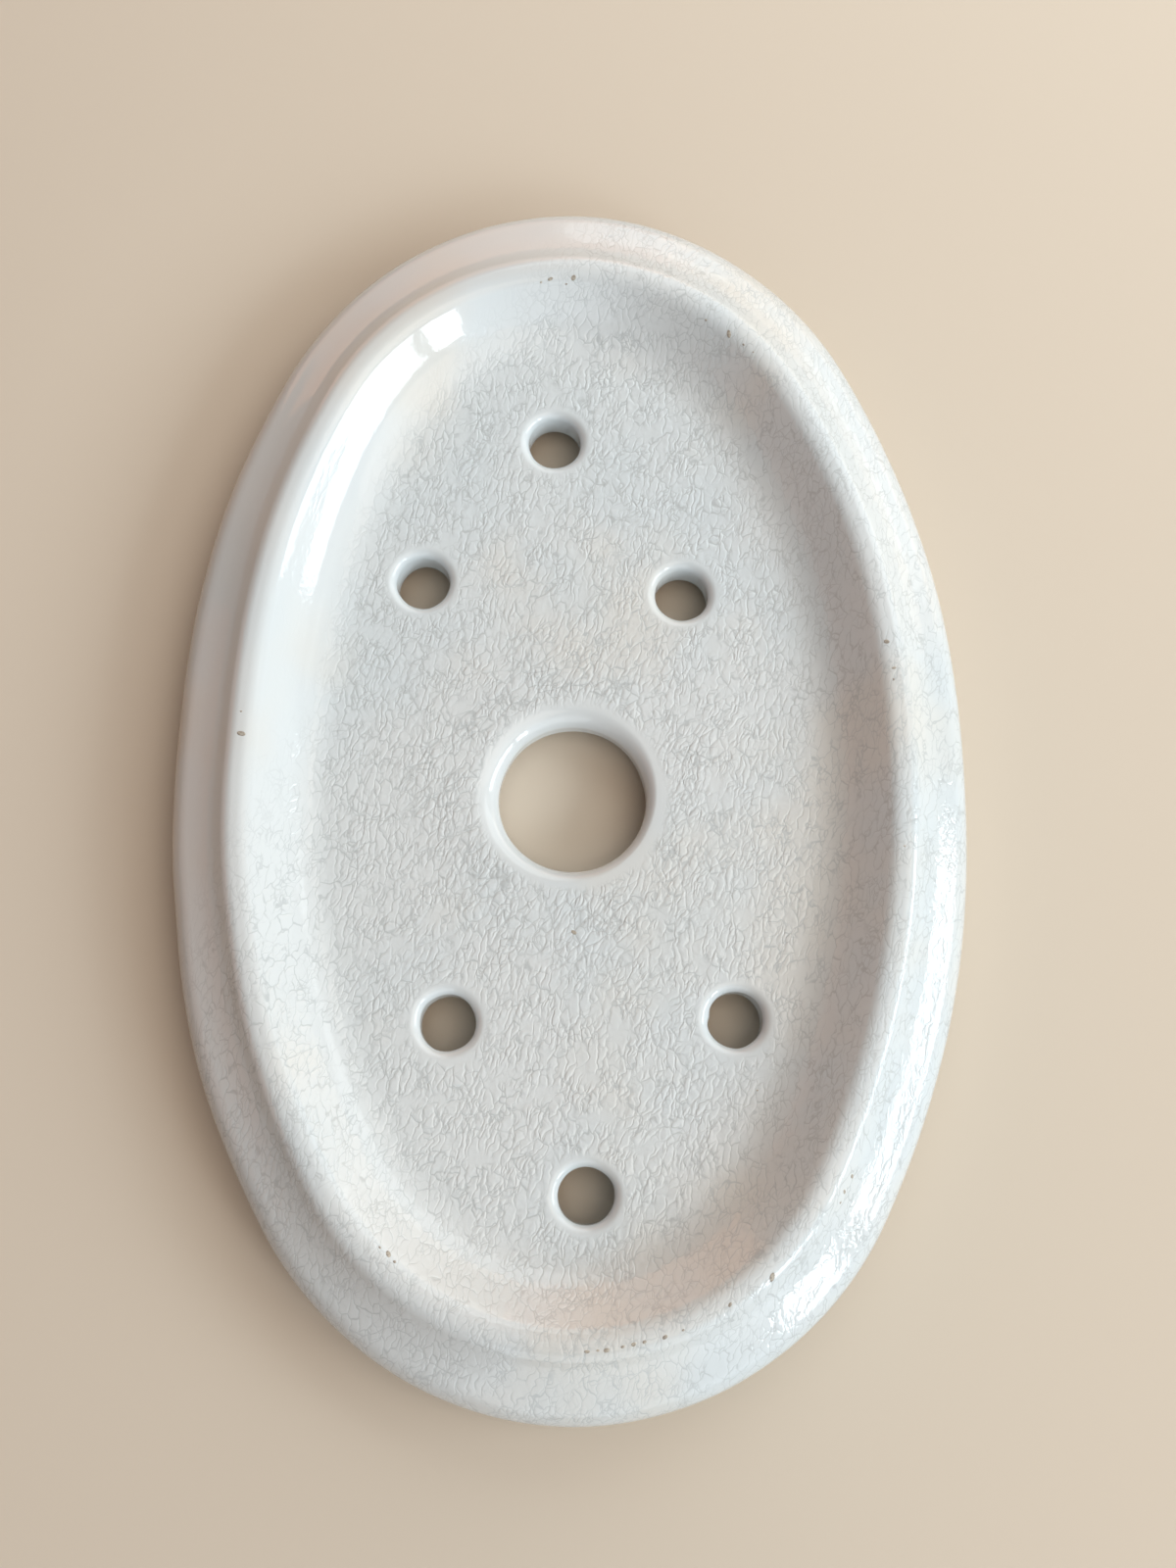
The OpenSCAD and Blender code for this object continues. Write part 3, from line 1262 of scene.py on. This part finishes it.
    def past_mouths(self, tree: Tree, place: Socket, coat: GlazeCoat) -> Socket:
        """Clears the smooth ring at each hole's mouth.

        Args:
            tree: the node tree.
            place: the place on the piece, in mm.
            coat: the glaze's shape.

        Returns:
            A share from 0 at the mouths to 1 away from them.
        """
        share = 1.0
        for hole in coat.holes:
            away = from_axis(tree, place, coat.hole_centre(hole))
            ends = (hole.mouth_reach + edge for edge in self.mouth_ring)
            clear = add_node(tree, "MapRange", (away, *ends), **SMOOTH)
            share = add_node(tree, "Math", (clear, share), operation="MULTIPLY")
        return share

    def specks(self, tree: Tree, place: Socket) -> Socket:
        """Scatters small specks of iron.

        Args:
            tree: the node tree.
            place: the place on the piece, in mm.

        Returns:
            The specks as a share from 0 to 1.
        """
        inputs = {"Vector": place, "Scale": 1 / self.speck_gap}
        away = add_node(tree, "TexVoronoi", inputs, "Distance", feature="F1")
        reach = self.speck_r / self.speck_gap
        dot = add_node(tree, "MapRange", (away, 0.0, reach, 1.0, 0.0), **SMOOTH)
        draw = add_node(tree, "SeparateColor", (away.node.outputs["Color"],))
        few = add_node(tree, "MapRange", (draw, *self.speck_draws))
        return add_node(tree, "Math", (dot, few), operation="MULTIPLY")


@dataclass(frozen=True)
class BisqueClay:
    """Fired ironstone clay, wiped bare at the foot before the glaze firing.

    The eye sees a matt cream, with fine grit, greyed where it stood.

    Attributes:
        cream: colour of the clay.
        worn: colour where it is soiled from standing.
        soil: where it is soiled.
        grit: size of its grains, in mm.
        grit_height: how far the grains stand out, in mm.
        relief: share of that height that shows.
        roughness: roughness of the clay.
    """

    cream: str = "#D9CDB8"
    worn: str = "#B9A78D"
    soil: Patches = Patches(5.0, (0.4, 0.7), detail=3.0, fade="LINEAR")
    grit: float = 0.35
    grit_height: float = 0.05
    relief: float = 0.5
    roughness: float = 0.85

    def material(self) -> bpy.types.Material:
        """Builds the clay's material.

        Returns:
            The material.
        """
        material, tree, surface = new_material("bisque_ironstone_clay", self.roughness)
        place = place_in_mm(tree)
        colour = lay_tints(tree, self.cream, ((self.worn, self.soil.draw(tree, place)),))
        tree.links.new(colour, surface.inputs["Base Color"])
        inputs = {"Vector": place, "Scale": 1 / self.grit, "Detail": 2.0}
        grains = add_node(tree, "TexNoise", inputs, "Fac")
        inputs = {"Height": grains, "Strength": self.relief, "Distance": self.grit_height * MM}
        tree.links.new(add_node(tree, "Bump", inputs), surface.inputs["Normal"])
        return material


@dataclass(frozen=True)
class StainedPit:
    """A burst bubble in the glaze, filled with soap scum and dust that have dried in it.

    The eye sees a small dull grey-brown spot, paler where the filling is thin.

    Attributes:
        dark: colour of its middle.
        pale: colour where the filling is thin.
        thin: where it is thin.
        roughness: roughness of the filling.
    """

    dark: str = "#8C847A"
    pale: str = "#BAB2A5"
    thin: Patches = Patches(0.25, (0.35, 0.65), fade="LINEAR")
    roughness: float = 0.6

    def material(self) -> bpy.types.Material:
        """Builds the filling's material.

        Returns:
            The material.
        """
        material, tree, surface = new_material("stained_glaze_pit", self.roughness)
        share = self.thin.draw(tree, place_in_mm(tree))
        colour = lay_tints(tree, self.dark, ((self.pale, share),))
        tree.links.new(colour, surface.inputs["Base Color"])
        return material


@dataclass(frozen=True)
class Softbox:
    """One soft light, by the direction from which it lights the piece.

    Attributes:
        name: its name.
        azimuth: its direction over the floor, in degrees from +X towards +Y.
        elevation: its height over the floor, in degrees.
        width: its width, in m.
        height: its height, in m.
        level: how brightly it lights a white face turned to it, where 1 is white.
        colour: its colour.
        distance: its distance from the piece, in m.
    """

    name: str
    azimuth: float
    elevation: float
    width: float
    height: float
    level: float
    colour: str
    distance: float = 0.8

    def build(self) -> None:
        """Puts the light in its place, turned to the piece."""
        light = bpy.data.lights.new(self.name, "AREA")
        light.shape = "RECTANGLE"
        light.size, light.size_y = self.width, self.height
        # An area lamp of this power lights a white face in its axis to the level
        light.energy = self.level * math.pi**2 * self.distance**2
        light.color = linear(self.colour)[:3]
        around, up = math.radians(self.azimuth), math.radians(self.elevation)
        flat = math.cos(up)
        way = Vector((math.cos(around) * flat, math.sin(around) * flat, math.sin(up)))
        lamp = bpy.data.objects.new(self.name, light)
        lamp.location = way * self.distance
        lamp.rotation_euler = way.to_track_quat("Z", "Y").to_euler()
        bpy.context.scene.collection.objects.link(lamp)


@dataclass(frozen=True)
class Studio:
    """The plain pale floor, the soft light and the camera.

    Attributes:
        lights: the soft lights.
        floor_colour: colour of the floor.
        floor_roughness: its roughness.
        floor_gloss: strength of its reflections.
        floor_reach: how far it reaches from the middle, in m.
        floor_steps: number of faces along each of its sides.
        room_colour: colour that the room's light has on the piece.
        room_level: level of the room's light, where 1 is white.
        far_colour: colour of the room to the camera and in the glaze.
        camera_mm: place of the camera, in mm.
        camera_turns: its turns about X, Y and Z, in degrees, from looking straight down.
        focal_px: its focal length in pixels of the photograph.
        photo_h: height of the photograph, in pixels.
        sensor_mm: width of the camera's sensor, in mm.
        nearest: nearest distance that the camera sees, in m.
    """

    lights: tuple[Softbox, ...] = (
        Softbox("long_window", -11, 27, 0.50, 0.24, 0.47, "#ECF7FD"),
        Softbox("small_window", -43, 27, 0.17, 0.24, 0.23, "#ECF7FD"),
        Softbox("side_wall", -75, 26, 0.90, 0.60, 0.36, "#F0F8FD"),
        Softbox("pale_wall", 60, 34, 0.40, 0.27, 0.52, "#F1FBFE", 0.35),
        Softbox("over_right", -30, 62, 0.70, 0.50, 0.25, "#FFECD8"),
        Softbox("over_head", 50, 70, 0.90, 0.90, 0.21, "#FFF3E6"),
        Softbox("low_lamp", 50, 10, 0.80, 0.25, 0.12, "#FFDCAE"),
        Softbox("warm_lamp", 105, 12, 0.90, 0.30, 0.16, "#FFAC70"),
        Softbox("warm_glow", 178, 22, 0.70, 0.40, 0.06, "#FF8C48"),
    )
    floor_colour: str = "#D9CDBD"
    floor_roughness: float = 0.9
    floor_gloss: float = 0.2
    floor_reach: float = 0.5
    floor_steps: int = 8
    room_colour: str = "#B79C83"
    room_level: float = 0.02
    far_colour: str = "#E6E3DE"
    camera_mm: tuple[float, float, float] = (1.6, -36.5, 162.9)
    camera_turns: tuple[float, float, float] = (12.61, 0.01, -0.56)
    focal_px: float = 1600.0
    photo_h: float = 1600.0
    sensor_mm: float = 36.0
    nearest: float = 0.01

    def build(self) -> None:
        """Builds the floor, the lights, the world and the camera."""
        for light in self.lights:
            light.build()
        self.build_floor()
        self.build_world()
        self.build_camera()
        bpy.context.scene.view_settings.view_transform = "Standard"

    def build_floor(self) -> None:
        """Lays the floor under the piece."""
        sheet = bmesh.new()
        steps = self.floor_steps
        bmesh.ops.create_grid(sheet, x_segments=steps, y_segments=steps, size=self.floor_reach)
        floor = add_piece("studio_floor", sheet)
        sheet.free()
        material, _, surface = new_material("matt_floor_paper", self.floor_roughness)
        surface.inputs["Base Color"].default_value = linear(self.floor_colour)
        surface.inputs["Specular IOR Level"].default_value = self.floor_gloss
        floor.data.materials.append(material)
        floor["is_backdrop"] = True

    def build_world(self) -> None:
        """Lights the room dimly, and shows it pale to the camera and in the glaze."""
        world = bpy.data.worlds.new("studio_room")
        bpy.context.scene.world = world
        world.use_nodes = True
        tree = world.node_tree
        tree.nodes.remove(tree.nodes["Background"])
        dim, pale = (
            add_node(tree, "Background", (linear(colour), level))
            for colour, level in ((self.room_colour, self.room_level), (self.far_colour, 1.0))
        )
        seen = add_node(tree, "LightPath", (), "Is Camera Ray")
        rays = seen.node.outputs
        for kind in ("Is Glossy Ray", "Is Transmission Ray"):
            seen = add_node(tree, "Math", (seen, rays[kind]), operation="MAXIMUM")
        mix = add_node(tree, "MixShader", (seen, dim, pale))
        tree.links.new(mix, tree.nodes["World Output"].inputs["Surface"])

    def build_camera(self) -> None:
        """Sets the camera at the photograph's viewing angle."""
        lens = bpy.data.cameras.new("photo_camera")
        lens.sensor_width = self.sensor_mm
        lens.lens = self.focal_px / self.photo_h * self.sensor_mm
        lens.clip_start = self.nearest
        camera = bpy.data.objects.new("photo_camera", lens)
        about_x, about_y, about_z = (
            Matrix.Rotation(math.radians(angle), 4, axis)
            for angle, axis in zip(self.camera_turns, "XYZ")
        )
        place = Matrix.Translation(Vector(self.camera_mm) * MM)
        camera.matrix_world = place @ about_z @ about_y @ about_x
        bpy.context.scene.collection.objects.link(camera)
        bpy.context.scene.camera = camera


def dress(piece: bpy.types.Object, material: bpy.types.Material) -> None:
    """Gives a new piece its material and lets it ride on the drainer.

    Args:
        piece: the piece.
        material: its finish.
    """
    piece.data.materials.clear()
    piece.data.materials.append(material)
    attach(piece, "root")
    LOG.info("%s: %d faces, %s", piece.name, len(piece.data.polygons), material.name)


def main() -> None:
    """Builds the drainer's pieces in order and the studio round them."""
    logging.basicConfig(level=logging.INFO, format="%(name)s: %(message)s")
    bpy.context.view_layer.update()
    coat = GlazeCoat(DrainerSizes.from_frame())
    face = coat.outer_face()
    glaze = coat.build(face)
    dress(glaze, CrazedGlaze().material(coat))
    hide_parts("glaze_coat")
    pits = GlazePits().build(face)
    dress(pits, StainedPit().material())
    clay = ClayBody(coat.sizes).build(face)
    dress(clay, BisqueClay().material())
    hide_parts("clay_body")
    face.free()
    Studio().build()


if __name__ == "__main__":
    main()
